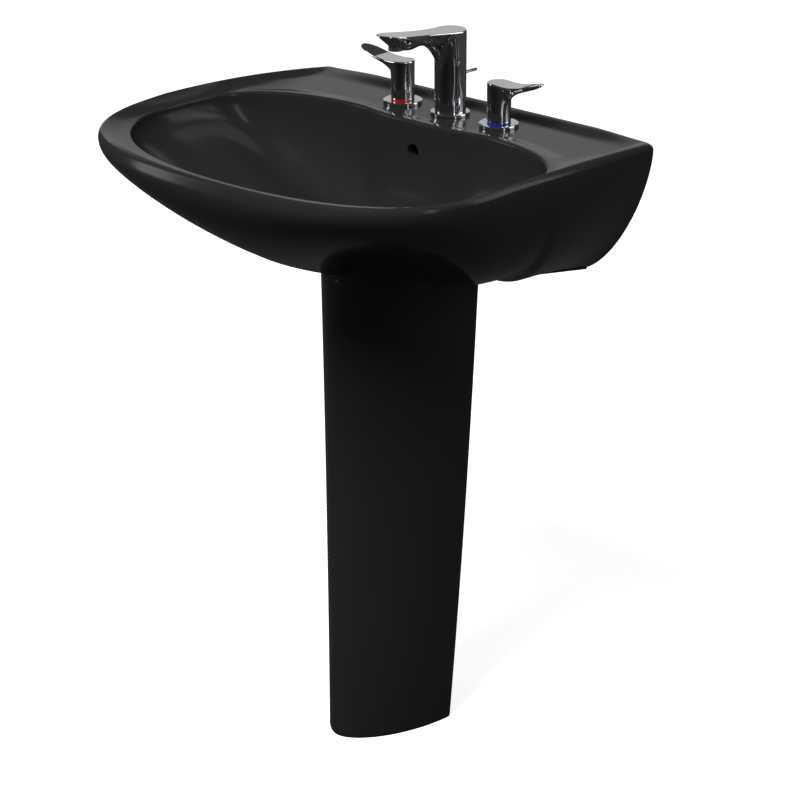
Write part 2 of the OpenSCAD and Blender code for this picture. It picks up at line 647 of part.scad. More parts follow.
// ---- Pop-up linkage ------------------------------------------------------
ball_y = drain_y + drain_r + 9.5;
ball_z = drain_z - 78;
ball_r = 5.5;
pivot_rod_r = 2.2;
rod_play = 1.2;                      // radial, round the pivot rod as it tilts
strap_t = 1.6;
strap_w = 12;
strap_low = ball_z - 22;
strap_y = rod_y + lift_rod_r + gap;
strap_top = deck_z - 92;
rod_low = strap_top - 34;
strap_mid = strap_y + strap_t / 2;
screw_z = strap_top - 10;
screw_r = 1.6;
clip_half = 4.2;                     // half of the clip's length along the pivot rod
clip_t = 1;

module lift_rod() {
  color(chrome) {
    translate([0, rod_y, rod_low]) cylinder(r = lift_rod_r, h = rod_pull_z - rod_low);
    translate([0, rod_y, rod_pull_z]) sphere(r = lift_rod_r);
    translate([0, rod_y, rod_pull_z]) lie_back() cylinder(r = lift_rod_r - 0.2, h = 40);
  }
}
module clevis_strap() {
  color(steel) difference() {
    union() {
      translate([-strap_w / 2, strap_y, strap_low]) cube([strap_w, strap_t, strap_top - strap_low]);
      translate([0, rod_y, strap_top - 16]) cylinder(r = lift_rod_r + 3, h = 12);
    }
    translate([0, rod_y, strap_top - 20]) cylinder(r = lift_rod_r + running, h = 22);
    for (k = [-1:2])
      translate([0, strap_y - 1, ball_z + k * 12]) lie_back() cylinder(r = pivot_rod_r + rod_play, h = 6);
    translate([0, rod_y, screw_z]) rotate([0, 90, 0]) cylinder(r = screw_r + running, h = 10);
  }
}
// Clamp screw, with its head at the side of the rod, clear of the tee
module clevis_screw() {
  color(steel) translate([lift_rod_r + running, rod_y, screw_z]) rotate([0, 90, 0]) {
    cylinder(r = screw_r, h = 6);
    translate([0, 0, 4]) cylinder(r = 3.6, h = 4);
  }
}
// Leaf spring folded round one edge of the strap, with the pivot rod through both leaves
clip_wrap = strap_w / 2 + 0.6;
module spring_clip() {
  color(steel) translate([0, strap_mid, ball_z]) difference() {
    translate([-4, -clip_half, -7]) cube([4 + clip_wrap + clip_t, 2 * clip_half, 14]);
    translate([-5, -clip_half + clip_t, -8]) cube([5 + clip_wrap, 2 * (clip_half - clip_t), 16]);
    translate([0, -10, 0]) lie_back() cylinder(r = pivot_rod_r + rod_play, h = 20);
  }
}
module pivot_rod() {
  color(steel) {
    translate([0, drain_y - 4, ball_z]) lie_back() cylinder(r = pivot_rod_r, h = rod_y + 18 - drain_y);
    translate([0, ball_y, ball_z]) sphere(r = ball_r);
  }
}
port_end = ball_y + 4;
module pivot_nut() {
  color(chrome) translate([0, ball_y - 6, ball_z]) lie_back() difference() {
    cylinder(r = 13.5, h = 14);
    translate([0, 0, -1]) cylinder(r = 10 + running, h = 11);
    translate([0, 0, 5]) cylinder(r = 5.2, h = 12);
  }
}

// ---- Drain ---------------------------------------------------------------
stopper_lift = lift_travel * (ball_y - drain_y) / (strap_mid - ball_y);
head_z = drain_z + stopper_lift - 1; // underside of the stopper's head, open
seal_t = 2;
barrel_low = ball_z - 26;
flange_low = drain_seat_z;
module drain_flange() {
  color(chrome) translate([0, drain_y, 0]) rotate_extrude() polygon([
    [drain_r - 3.5, flange_low - 14], [drain_r - 1.5, flange_low - 14], [drain_r - 1.5, flange_low + 0.2],
    [drain_flange_r, flange_low + 0.2], [drain_flange_r, flange_low + 1.2],
    [drain_flange_r - 2, flange_low + 2.6],
    [drain_r + 1, flange_low + 2.6], [drain_r - 3.5, flange_low - 1]
  ]);
}
module drain_body() {
  color(chrome) difference() {
    union() {
      translate([0, drain_y, barrel_low]) cylinder(r = drain_r, h = flange_low - gap - barrel_low);
      translate([0, drain_y, ball_z]) lie_back() cylinder(r = 10, h = port_end - drain_y);
    }
    translate([0, drain_y, barrel_low - 1]) cylinder(r = drain_r - 3.2, h = flange_low - barrel_low - 13);
    translate([0, drain_y, flange_low - 15]) cylinder(r = drain_r - 1.5 + running, h = 20);
    translate([0, drain_y + 5, ball_z]) lie_back() cylinder(r = ball_r + running, h = port_end - drain_y);
  }
}
gasket_z = seat_z;
module drain_gasket() {
  color(rubber) translate([0, drain_y, gasket_z - 5]) tube(drain_hole_r + 8, drain_r + running, 5);
}
module drain_locknut() {
  color(brass) translate([0, drain_y, gasket_z - 15]) difference() {
    union() {
      hex(drain_r * 2 + 12, 9);
      translate([0, 0, 8]) cylinder(r = drain_hole_r + 7, h = 2);
    }
    translate([0, 0, -1]) cylinder(r = drain_r + running, h = 12);
  }
}
tail_top = barrel_low + 18;
tail_low = ball_z - 120;
tail_nut_low = barrel_low - 8;
tail_bore = tail_r - 1.8;
tail_end_r = tail_r - 0.6;           // the end that the nut holds is turned down
module tailpiece() {
  color(chrome) translate([0, drain_y, 0]) difference() {
    union() {
      translate([0, 0, tail_low]) cylinder(r = tail_r, h = tail_nut_low - gap - tail_low);
      translate([0, 0, tail_low]) cylinder(r = tail_end_r, h = tail_top - tail_low);
    }
    translate([0, 0, tail_low - 1]) cylinder(r = tail_bore, h = tail_top - tail_low + 2);
  }
}
module tailpiece_nut() {
  color(chrome) translate([0, drain_y, tail_nut_low]) difference() {
    cylinder(r = drain_r + 5, h = 20);
    translate([0, 0, barrel_low - tail_nut_low - gap]) cylinder(r = drain_r + running, h = 30);
    translate([0, 0, -1]) cylinder(r = tail_end_r + running, h = 30);
  }
}
module stopper() {
  color(chrome) translate([0, drain_y, 0]) {
    rotate_extrude() polygon(concat(
      [[0, head_z], [drain_r - 2, head_z]],
      [for (k = [0:6]) let (a = k * 15) [(drain_r - 1) * cos(a), head_z + 1 + 3.6 * sin(a)]]
    ));
    translate([0, 0, ball_z + 10]) cylinder(r = 4, h = head_z - ball_z - 9.5);
    difference() {
      translate([-6, -2, ball_z - 9]) cube([12, 4, 22]);
      translate([0, -3, ball_z]) lie_back() cylinder(r = pivot_rod_r + 1, h = 6);
    }
  }
}

module stopper_seal() {
  color(rubber) translate([0, drain_y, head_z - seal_t]) tube(drain_r - 3.9, 4 + running, seal_t);
}

basin();
pedestal();
spout_body();
spout_flange();
aerator();
spout_shank();
spout_washer();
spout_nut();
mixing_tee();
hot_handle();
hot_set_screw();
hot_stem();
hot_index_ring();
hot_flange();
hot_valve_body();
cold_handle();
cold_set_screw();
cold_stem();
cold_index_ring();
cold_flange();
cold_valve_body();
valve_washers();
valve_nuts();
bridge_tubes();
bridge_nuts();
lift_rod();
clevis_strap();
clevis_screw();
spring_clip();
pivot_rod();
pivot_nut();
stopper();
stopper_seal();
drain_flange();
drain_body();
drain_gasket();
drain_locknut();
tailpiece();
tailpiece_nut();
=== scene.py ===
import json
import math

import bmesh
import bpy
import numpy as np
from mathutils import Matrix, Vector


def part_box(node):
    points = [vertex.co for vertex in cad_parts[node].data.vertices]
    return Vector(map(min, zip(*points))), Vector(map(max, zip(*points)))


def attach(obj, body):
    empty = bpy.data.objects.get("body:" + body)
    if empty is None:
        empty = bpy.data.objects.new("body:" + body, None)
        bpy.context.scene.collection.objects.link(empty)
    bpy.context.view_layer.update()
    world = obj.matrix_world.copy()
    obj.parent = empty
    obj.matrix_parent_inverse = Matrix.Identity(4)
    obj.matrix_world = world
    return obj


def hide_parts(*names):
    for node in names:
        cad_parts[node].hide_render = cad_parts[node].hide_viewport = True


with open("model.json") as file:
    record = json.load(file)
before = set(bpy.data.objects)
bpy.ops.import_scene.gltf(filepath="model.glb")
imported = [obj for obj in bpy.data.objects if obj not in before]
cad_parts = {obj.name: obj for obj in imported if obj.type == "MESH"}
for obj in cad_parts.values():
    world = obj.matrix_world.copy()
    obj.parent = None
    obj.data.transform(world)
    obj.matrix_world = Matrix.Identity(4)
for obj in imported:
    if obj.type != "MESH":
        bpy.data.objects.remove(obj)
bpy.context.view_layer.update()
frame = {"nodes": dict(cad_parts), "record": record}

# ---------------------------------------------------------------------------
# Camera and studio. A long lens looking down on the deck, a pale floor that
# glows a little so that it stays white, and soft lamps that the black glaze
# and the chrome reflect.
camera = bpy.data.objects.new("camera", bpy.data.cameras.new("camera"))
bpy.context.scene.collection.objects.link(camera)
camera.data.lens = 134.55
camera.data.sensor_width = 36
camera.location = (2.6322, -2.7651, 1.9756)
look_down = 21.10
look_round = 42.57
camera.rotation_euler = (math.radians(90 - look_down), 0, math.radians(look_round))
bpy.context.scene.camera = camera
bpy.context.scene.view_settings.view_transform = "Standard"


class Socket:
    """A shader socket that Python's operators work on; value maths adds Math nodes."""

    def __init__(self, tree, link):
        self.tree = tree
        self.link = link

    def node(self, kind, settings=None, out=0, **inputs):
        node = self.tree.nodes.new("ShaderNode" + kind)
        for name, value in (settings or {}).items():
            if name == "stops":
                ramp = node.color_ramp.elements
                while len(ramp) < len(value):
                    ramp.new(0.5)
                for stop, (place, colour) in zip(ramp, value):
                    stop.position = place
                    stop.color = (*colour, 1)
            else:
                setattr(node, name, value)
        for name, value in inputs.items():
            socket = node.inputs[int(name[1:]) if name[1:].isdigit() else name.replace("_", " ")]
            if isinstance(value, Socket):
                self.tree.links.new(value.link, socket)
            else:
                socket.default_value = value
        return Socket(self.tree, node.outputs[out])

    def maths(self, operation, a, b=0.0):
        return self.node("Math", {"operation": operation}, i0=a, i1=b)

    def __add__(self, other):
        return self.maths("ADD", self, other)

    def __radd__(self, other):
        return self.maths("ADD", other, self)

    def __sub__(self, other):
        return self.maths("SUBTRACT", self, other)

    def __rsub__(self, other):
        return self.maths("SUBTRACT", other, self)

    def __mul__(self, other):
        return self.maths("MULTIPLY", self, other)

    def __rmul__(self, other):
        return self.maths("MULTIPLY", other, self)

    def __pow__(self, other):
        return self.maths("POWER", self, other)

    def clamp(self, low, high):
        return self.node("MapRange", {"clamp": True}, i0=self, i1=low, i2=high, i3=0.0, i4=1.0)


def new_material(name, **constants):
    """A material, its shader node, and a socket with the place on the object in metres."""
    material = bpy.data.materials.new(name)
    material.use_nodes = True
    shader = material.node_tree.nodes["Principled BSDF"]
    for socket, value in constants.items():
        shader.inputs[socket.replace("_", " ")].default_value = value
    tree = material.node_tree
    place = tree.nodes.new("ShaderNodeTexCoord").outputs["Object"]
    return material, shader, Socket(tree, place)


def drive(shader, socket, source):
    source.tree.links.new(source.link, shader.inputs[socket])


def mixed(a, b, share):
    """Colour a where share is 0 and colour b where it is 1."""
    settings = {"data_type": "RGBA"}
    return share.node("Mix", settings, out=2, i0=share, i6=(*a, 1), i7=(*b, 1))


def studio_lamp(name, place, target, width, height, power):
    lamp = bpy.data.lights.new(name, "AREA")
    lamp.shape = "RECTANGLE"
    lamp.size = width
    lamp.size_y = height
    lamp.energy = power
    holder = bpy.data.objects.new(name, lamp)
    bpy.context.scene.collection.objects.link(holder)
    holder.location = place
    holder.visible_camera = False
    holder.rotation_euler = (Vector(target) - Vector(place)).to_track_quat("-Z", "Y").to_euler()
    return holder


studio_lamp("backdrop_card", (-3.2, 3.7, 1.9), (0, 0, 0.8), 5.2, 2.8, 20)
studio_lamp("overhead_softbox", (1.2, 1.7, 3.3), (0, 0, 0.8), 1.8, 1.4, 6)
studio_lamp("rear_softbox", (2.6, 1.9, 1.5), (0, 0.1, 0.9), 1.6, 2.6, 26)
studio_lamp("side_strip", (3.3, -0.8, 1.6), (0, 0, 0.8), 0.42, 2.6, 11)
studio_lamp("left_softbox", (-2.9, -2.2, 1.0), (0, 0, 0.6), 1.0, 1.8, 18)
fill = studio_lamp("diffuse_fill", (0.4, -2.4, 3.9), (0, 0, 0.8), 1.8, 1.8, 230)
fill.visible_glossy = False

world = bpy.data.worlds.new("studio")
bpy.context.scene.world = world
world.use_nodes = True
sky = world.node_tree.nodes["Background"].inputs
sky["Color"].default_value = (0.95, 0.96, 1, 1)
sky["Strength"].default_value = 0.05


def link_mesh(name, points, faces, material, smooth_angle=40):
    mesh = bpy.data.meshes.new(name)
    mesh.from_pydata([tuple(map(float, p)) for p in points], [], faces)
    mesh.validate()
    piece = bpy.data.objects.new(name, mesh)
    bpy.context.scene.collection.objects.link(piece)
    if material:
        mesh.materials.append(material)
    shade(piece, smooth_angle)
    return piece


def shade(piece, angle):
    """Smooth shading, with an edge kept where two faces meet at more than the angle."""
    bm = bmesh.new()
    bm.from_mesh(piece.data)
    bmesh.ops.recalc_face_normals(bm, faces=bm.faces)
    for face in bm.faces:
        face.smooth = True
    for edge in bm.edges:
        edge.smooth = edge.is_manifold and edge.calc_face_angle(0) < math.radians(angle)
    bm.to_mesh(piece.data)
    bm.free()


floor_material, floor_shader, spot = new_material(
    "studio_floor",
    Roughness=0.9,
    Specular_IOR_Level=0.0,
    Emission_Color=(1, 1, 1, 1),
    Emission_Strength=0.75,
)
cloudy = spot.node("TexNoise", Vector=spot, Scale=1.4, Detail=2.0)
drive(floor_shader, "Base Color", mixed((0.9, 0.9, 0.9), (0.93, 0.93, 0.93), cloudy))
floor_half = 40
floor = link_mesh(
    "studio_floor",
    [(x * floor_half, y * floor_half, 0) for x, y in ((-1, -1), (1, -1), (1, 1), (-1, 1))],
    [(0, 1, 2, 3)],
    floor_material,
)
floor.visible_glossy = False
floor.visible_diffuse = False

# ---------------------------------------------------------------------------
# Basin. One piece of vitreous china, slip-cast in a plaster mould, sprayed
# with a black glaze and fired. Its half outline runs from the front centre
# round the side to the wall corner (s), then along the wall (u).
basin_low, basin_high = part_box("basin")
wall_y = basin_high.y
deck_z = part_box("hot_flange")[0].z
crest_half_w = 0.316
wall_half_w = 0.291
brow = 0.005
crest_front = wall_y - brow
widest_y = -0.127 * wall_y
wall_round = 0.006
front_share = 0.6
corner_share = 0.72
collar_share = 0.70
china_t = 0.013
collar_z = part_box("pedestal")[1].z + 0.0003
wing_z = basin_low.z - 0.001
wing_half_w = wall_half_w * 0.663
arch_rise = 0.106
collar_half_w = 0.118
collar_depth = 0.149
collar_back = wall_y - 0.1435
collar_power = 1.8


def clamp(t):
    return np.clip(t, 0, 1)


def smooth(t):
    return clamp(t) ** 2 * (3 - 2 * clamp(t))


def mix(a, b, t):
    return a + (b - a) * t


def bend(t, power):
    return np.maximum(0, t) ** (2 / power)


def along(s, stations):
    """Value at s, eased from each [station, value] to the next."""
    table = np.array(stations, float)
    i = np.clip(np.searchsorted(table[:, 0], s + 1e-9, side="right") - 1, 0, len(table) - 2)
    part = (s - table[i, 0]) / (table[i + 1, 0] - table[i, 0])
    return mix(table[i, 1], table[i + 1, 1], smooth(part))


def points_of(x, y, z):
    return np.stack(np.broadcast_arrays(x, y, z), -1).astype(float)


def between(a, b, *shares):
    """From points a to points b, with a share for each of X, Y and Z."""
    return points_of(*(mix(a[..., i], b[..., i], t) for i, t in enumerate(shares)))


def direction(x, y):
    size = np.hypot(x, y) + 1e-12
    return x / size, y / size


def crest(s, u):
    a = clamp(s / front_share) * math.pi / 2
    k = clamp((s - front_share) / (1 - front_share))
    rear = s > front_share
    reach = widest_y + crest_front
    side_x = crest_half_w - (crest_half_w - wall_half_w) * k**2.21
    x = np.where(rear, side_x, crest_half_w * bend(np.sin(a), 2.7))
    y = np.where(rear, mix(widest_y, wall_y - wall_round, k), widest_y - reach * bend(np.cos(a), 2.7))
    rise = mix(0.012, 0.018, np.maximum((y + crest_front) / reach, 0) ** 1.5)
    z = deck_z + np.where(rear, mix(0.018, 0.0025, k * k), rise)
    return points_of(x * (1 - u), y, mix(z, deck_z + 0.006, smooth(u * 3)))


def section(half_w, back, depth, power, a):
    return half_w * bend(np.sin(a), power), back - depth * bend(np.cos(a), power)


def hull_end(s, u):
    """Where the swelling underside ends: on the collar, the side's foot, the arch at the wall."""
    a = clamp(s / collar_share) * math.pi / 2
    k = clamp((s - collar_share) / (1 - collar_share))
    x, y = section(collar_half_w, collar_back, collar_depth, collar_power, a)
    swell = 0.037 * np.sin(2 * a) * (1 - smooth((np.degrees(a) - 30) / 50))
    crease = collar_z + mix(0.008, 0.004, np.sin(a) ** 2) + swell
    z = mix(crease, wing_z + 0.003, smooth(k / 0.1))
    x = mix(x, wing_half_w, k) * (1 - u)
    return points_of(x, mix(y, wall_y, k), mix(z, wing_z + arch_rise, smooth(u * 2)))


def bottom_edge(s, u, inset):
    a = clamp(s / collar_share) * math.pi / 2
    k = clamp((s - collar_share) / (1 - collar_share))
    x, y = section(collar_half_w - inset, collar_back, collar_depth - inset, collar_power, a)
    z = mix(mix(collar_z, wing_z, smooth(k / 0.1)), wing_z + arch_rise - 0.003, smooth(u * 2))
    return points_of(mix(x, wing_half_w - inset, k) * (1 - u), mix(y, wall_y - inset * (k > 0), k), z)


def shoulder(s, u):
    c = crest(s, u)
    e = hull_end(s, u)
    out_x, out_y = direction(c[..., 0] - e[..., 0], c[..., 1] - e[..., 1])
    swell = along(s, [[0, brow], [0.55, 0.007], [1, 0.009]]) * (1 - smooth(u * 4))
    corner = smooth((s - 0.85) / 0.15)
    out_x = np.where(u > 0, 1, mix(out_x, 1, corner))
    out_y = np.where(u > 0, 0, out_y * (1 - corner))
    drop = mix(along(s, [[0, 0.018], [0.5, 0.008], [1, 0.010]]), 0.007, smooth(u * 4))
    y = np.minimum(wall_y, c[..., 1] + out_y * swell + wall_round * corner)
    return points_of(c[..., 0] + out_x * swell, y, c[..., 2] - drop)


def fall(h, power):
    return 1 - np.maximum(0, 1 - h**power) ** (1 / power)


def hull(s, u, h):
    a = shoulder(s, u)
    b = hull_end(s, u)
    power = along(s, [[0, 1.75], [0.2, 1.6], [0.4, 1.8], [0.65, 2.35], [1, 1.5]])
    cut = along(s, [[0, 0.7], [0.3, 0.8], [0.6, 0.97], [1, 0.985]])
    g = fall(h * cut, power) / fall(cut, power)
    return between(a, b, g, g, h)


lip_half_w = crest_half_w - 0.016
lip_back = wall_y - 0.131


def lip_y(x):
    oval = np.maximum(0, 1 - (np.abs(x) / lip_half_w) ** 3.2) ** (1 / 3.2)
    return widest_y + (lip_back - widest_y) * oval - 0.0145 * np.exp(-((x / 0.095) ** 4))


def lip(s, u):
    a = clamp(s / front_share) * math.pi / 2
    b = clamp((s - front_share) / (1 - front_share)) * math.pi / 4
    rear = s > front_share
    x = np.where(rear, lip_half_w * bend(np.cos(b), 3.2) * (1 - u), lip_half_w * bend(np.sin(a), 2.3))
    front_y = widest_y - (widest_y + crest_front - 0.034) * bend(np.cos(a), 2.3)
    z = deck_z + along(s, [[0, 0.002], [0.6, 0.004], [1, 0.005]])
    return points_of(x, np.where(rear, lip_y(x), front_y), z)


lip_round = 0.004
drain_low, drain_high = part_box("drain_flange")
drain_y = (drain_low.y + drain_high.y) / 2
drain_z = deck_z - 0.132
seat_z = drain_z - 0.023
bowl_powers = [[0, 1.8], [0.3, 1.7], [0.6, 1.7], [1, 2.3]]


def drain_ring(s, u, radius, z):
    a = math.pi * (s * corner_share + u * (1 - corner_share)) - math.pi / 2
    return points_of(radius * np.cos(a), drain_y + radius * np.sin(a), z)


def bowl_point(top, foot, power, a):
    g = 1 - bend(np.cos(a), power)
    h = bend(np.sin(a), power)
    return between(top, foot, g, g, h)


def moved(points, way, out, z):
    return points_of(points[..., 0] + way[0] * out, points[..., 1] + way[1] * out, z)


def rim_top(s, u, t, way):
    edge = lip(s, u)
    a = moved(edge, way, lip_round, edge[..., 2])
    b = crest(s, u)
    rear = smooth((s - 0.8) / 0.2)
    dish = mix(a[..., 2], b[..., 2], t) - 0.0016 * np.sin(math.pi * t)
    front = mix(a[..., 2], deck_z, smooth(t / 0.24))
    back = mix(deck_z, b[..., 2], smooth((t - 0.72) / 0.28))
    deck = front if t < 0.24 else back
    return points_of(mix(a[..., 0], b[..., 0], t), mix(a[..., 1], b[..., 1], t), mix(dish, deck, rear))


around = 120
share = np.arange(around + 1) / around
half_s = clamp(share / corner_share)
half_u = clamp((share - corner_share) / (1 - corner_share))


def mirrored_rows(rows):
    """Full closed rings from half rings that start and end on the centre plane."""
    rows = np.array(rows)
    other = rows[:, -2:0:-1] * (-1, 1, 1)
    return np.concatenate([rows, other], axis=1)


def ring_faces(rows, count, loop):
    faces = []
    for j in range(rows if loop else rows - 1):
        below = (j + 1) % rows * count
        for i in range(count):
            k = (i + 1) % count
            faces.append((j * count + i, j * count + k, below + k, below + i))
    return faces


def capped(name, rows, material):
    """A closed solid from rings, with a flat face on the first and the last."""
    count = len(rows[0])
    points = np.concatenate(rows)
    ends = [tuple(range(count - 1, -1, -1)), tuple(range(len(points) - count, len(points)))]
    return link_mesh(name, points, ring_faces(len(rows), count, False) + ends, material)


def china_rows():
    s, u = half_s, half_u
    edge = lip(s, u)
    way = direction(*(crest(s, u) - edge)[..., :2].T)
    power = along(s, bowl_powers)
    foot = drain_ring(s, u, 0.0195, drain_z)
    top = moved(edge, (0, 0), 0, edge[..., 2] - lip_round)
    rows = [foot]
    rows += [bowl_point(top, foot, power, math.pi / 2 * k / 36) for k in range(35, -1, -1)]
    for a in (20, 40, 60, 80):
        turn = math.radians(a)
        z = edge[..., 2] - lip_round * (1 - math.sin(turn))
        rows.append(moved(edge, way, lip_round * (1 - math.cos(turn)), z))
    rows += [rim_top(s, u, t, way) for t in np.linspace(0, 1, 31) ** 0.9]
    c = crest(s, u)
    sh = shoulder(s, u)
    for a in np.radians((12, 24, 36, 48, 60, 72, 82)):
        rows.append(between(c, sh, math.sin(a), math.sin(a), 1 - math.cos(a)))
    rows += [hull(s, u, math.sin(math.pi / 2 * k / 44)) for k in range(45)]
    rows += [bottom_edge(s, u, 0.0008), drain_ring(s, u, 0.0195, collar_z)]
    return mirrored_rows(rows)


def hollow_pieces():
    """The hollow under the deck, and the well that the pedestal's collar leaves."""
    ceiling_z = deck_z - 0.014
    levels = []
    s = np.linspace(0.55, 1, 40)
    for z in np.linspace(wing_z - 0.03, ceiling_z, 24):
        top = shoulder(s, 0 * s)
        low = hull_end(s, 0 * s)
        inset = china_t - 0.002
        p = hull(s, 0 * s, clamp((top[..., 2] - z + inset) / (top[..., 2] - low[..., 2])))
        side = points_of(p[..., 0] - inset, np.minimum(p[..., 1], wall_y - china_t + 0.001), z)
        levels.append(np.concatenate([side * (-1, 1, 1), side[::-1]]))
    cavity = capped("cavity", levels, None)
    shell_rows = []
    edge = lip(half_s, half_u)
    way = direction(*(crest(half_s, half_u) - edge)[..., :2].T)
    top = moved(edge, way, china_t, ceiling_z + 0.005)
    foot = drain_ring(half_s, half_u, 0.034, seat_z)
    for a in np.linspace(0, math.pi / 2, 28):
        shell_rows.append(bowl_point(top, foot, along(half_s, bowl_powers), a))
    return cavity, capped("bowl_shell", mirrored_rows(shell_rows), None)


def tool(name, bm):
    mesh = bpy.data.meshes.new(name)
    bm.to_mesh(mesh)
    bm.free()
    piece = bpy.data.objects.new(name, mesh)
    bpy.context.scene.collection.objects.link(piece)
    return piece


def block(name, low, high):
    """A square tool between two corners."""
    bm = bmesh.new()
    bmesh.ops.create_cube(bm, size=1)
    for v in bm.verts:
        v.co = [mix(low[i], high[i], v.co[i] + 0.5) for i in range(3)]
    return tool(name, bm)


def peg(name, base, radius, length, way=(0, 0, 1), sides=64):
    """A round tool for cutting a hole, from its base along its way."""
    bm = bmesh.new()
    bmesh.ops.create_cone(
        bm, cap_ends=True, segments=sides, radius1=radius, radius2=radius, depth=length
    )
    bmesh.ops.translate(bm, verts=bm.verts, vec=(0, 0, length / 2))
    turn = Vector((0, 0, 1)).rotation_difference(Vector(way))
    for v in bm.verts:
        v.co = turn @ v.co + Vector(base)
    return tool(name, bm)


def carve(piece, cutter, operation="DIFFERENCE"):
    """Cuts the cutter out of the piece, or keeps only what both hold, and removes the cutter."""
    cut = piece.modifiers.new("cut", "BOOLEAN")
    cut.object = cutter
    cut.operation = operation
    cut.solver = "MANIFOLD"
    graph = bpy.context.evaluated_depsgraph_get()
    mesh = bpy.data.meshes.new_from_object(piece.evaluated_get(graph))
    piece.modifiers.clear()
    piece.data = mesh
    bpy.data.objects.remove(cutter)


glaze, glaze_shader, spot = new_material("black_glaze", IOR=1.3)
pooling = spot.node("TexNoise", Vector=spot, Scale=3.0, Detail=3.0)
specks = spot.node("TexVoronoi", Vector=spot, Scale=900.0).clamp(0.0, 0.06)
drive(glaze_shader, "Base Color", mixed((0.014, 0.014, 0.0145), (0.020, 0.020, 0.0205), pooling))
drive(glaze_shader, "Roughness", 0.16 + pooling * 0.05 + (1 - specks) * 0.08)
orange_peel = spot.node("TexNoise", Vector=spot, Scale=38.0, Detail=2.0)
drive(glaze_shader, "Normal", spot.node("Bump", Strength=0.05, Distance=0.0004, Height=orange_peel))

rows = china_rows()
faces = ring_faces(len(rows), rows.shape[1], True)
basin = link_mesh("basin_china", rows.reshape(-1, 3), faces, glaze)
cavity, bowl_shell = hollow_pieces()
behind = block("behind", (-0.4, collar_back + 0.001, 0.5), (0.4, 0.4, deck_z))
carve(cavity, behind, "INTERSECT")
carve(cavity, bowl_shell)
carve(basin, cavity)
for inset, top_z in ((china_t, seat_z), (-0.001, collar_z)):
    turns = np.radians(np.linspace(0, 90, 40))
    well_x, well_y = section(
        collar_half_w - inset, collar_back + 0.002, collar_depth - inset + 0.002, collar_power, turns
    )
    well_rows = mirrored_rows([points_of(well_x, well_y, z) for z in (wing_z - 0.03, top_z)])
    carve(basin, capped("well", well_rows, None))
hot_low, hot_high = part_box("hot_flange")
faucet_y = (hot_low.y + hot_high.y) / 2
handle_x = -(hot_low.x + hot_high.x) / 2
overflow_z = deck_z - 0.037
for x, radius in ((-handle_x, 0.016), (handle_x, 0.016), (0, 0.0175)):
    carve(basin, peg("hole", (x, faucet_y, deck_z - 0.03), radius, 0.05))
carve(basin, peg("hole", (0, drain_y, drain_z - 0.04), 0.0225, 0.06))
carve(basin, peg("hole", (0, drain_y, drain_z - 0.002), 0.032, 0.02, sides=96))
carve(basin, peg("hole", (0, float(lip_y(0)) - 0.03, overflow_z), 0.010, 0.049, way=(0, 1, 0)))
for x in (-0.14, 0.14):
    carve(basin, peg("hole", (x, wall_y - 0.033, deck_z - 0.051), 0.006, 0.05, way=(0, 1, 0)))
shade(basin, 32)
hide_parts("basin")
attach(basin, "basin_and_pedestal")

# ---------------------------------------------------------------------------
# Pedestal. The same black china, cast as a tapering channel that is open at
# the back and stiffened by two turned-in flanges and a web at the foot.
ped_top_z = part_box("pedestal")[1].z
foot_half_w = 0.0785
foot_depth = 0.1515
foot_back = collar_back - 0.009
channel_t = 0.012
return_w = 0.026


def taper(a, b, s, sag):
    return mix(a, b, s - sag * s * (1 - s))


def channel_ring(s, round_in):
    half_w = taper(collar_half_w, foot_half_w, s, 0.2) - round_in
    depth = taper(collar_depth, foot_depth, s, 0.77) - 2 * round_in
    back = taper(collar_back, foot_back, s, 0.77) - round_in
    z = ped_top_z * (1 - s)

    def path(inset):
        a = np.linspace(-math.pi / 2, math.pi / 2, 97)
        x, y = section(half_w - inset, back - inset, depth - 2 * inset, collar_power, np.abs(a))
        arc = points_of(np.sign(a) * x, y, z)
        turn_in = half_w - return_w
        ends = [points_of(np.linspace(-turn_in, arc[0, 0], 8)[:-1], back - inset, z)]
        ends.append(points_of(np.linspace(arc[-1, 0], turn_in, 8)[1:], back - inset, z))
        return np.concatenate([ends[0], arc, ends[1]])

    return np.concatenate([path(0), path(channel_t)[::-1]])


levels = []
top_round = 0.0008
edge_round = 0.0025
for k in range(7):
    turn = math.radians(15 * k)
    levels.append((top_round / ped_top_z * (1 - math.cos(turn)), top_round * (1 - math.sin(turn))))
levels += [(s, 0.0) for s in np.linspace(0.02, 0.985, 46)]
for k in range(1, 9):
    turn = math.radians(90 / 8 * k)
    rise = edge_round * 2 * (1 - math.sin(turn))
    levels.append((1 - rise / ped_top_z, edge_round * (1 - math.cos(turn))))
rings = np.array([channel_ring(s, r) for s, r in sorted(levels)])
count = rings.shape[1]
faces = ring_faces(len(rings), count, False)
last = (len(rings) - 1) * count
for i in range(count // 2 - 1):
    faces.append((i + 1, i, count - 1 - i, count - 2 - i))
    faces.append((last + i, last + i + 1, last + count - 2 - i, last + count - 1 - i))
pedestal = link_mesh("pedestal_china", rings.reshape(-1, 3), faces, glaze, 32)
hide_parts("pedestal")
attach(pedestal, "basin_and_pedestal")

# The web across the foot takes the floor bolt.
web_y = foot_back - 0.030
web_depth = 0.048
a = np.linspace(-math.pi / 2, math.pi / 2, 65)
x, y = section(foot_half_w - 0.008, foot_back - 0.006, foot_depth - 0.014, collar_power, np.abs(a))
outline = points_of(np.sign(a) * x, y, 0.0)
web_t = 0.012
web = capped("pedestal_foot_web", [outline, outline + (0, 0, web_t)], glaze)
carve(web, block("front", (-0.2, -0.3, -0.1), (0.2, foot_back - web_depth, 0.1)))
carve(web, peg("hole", (0, web_y, -0.01), 0.005, 0.04))
shade(web, 32)
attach(web, "basin_and_pedestal")

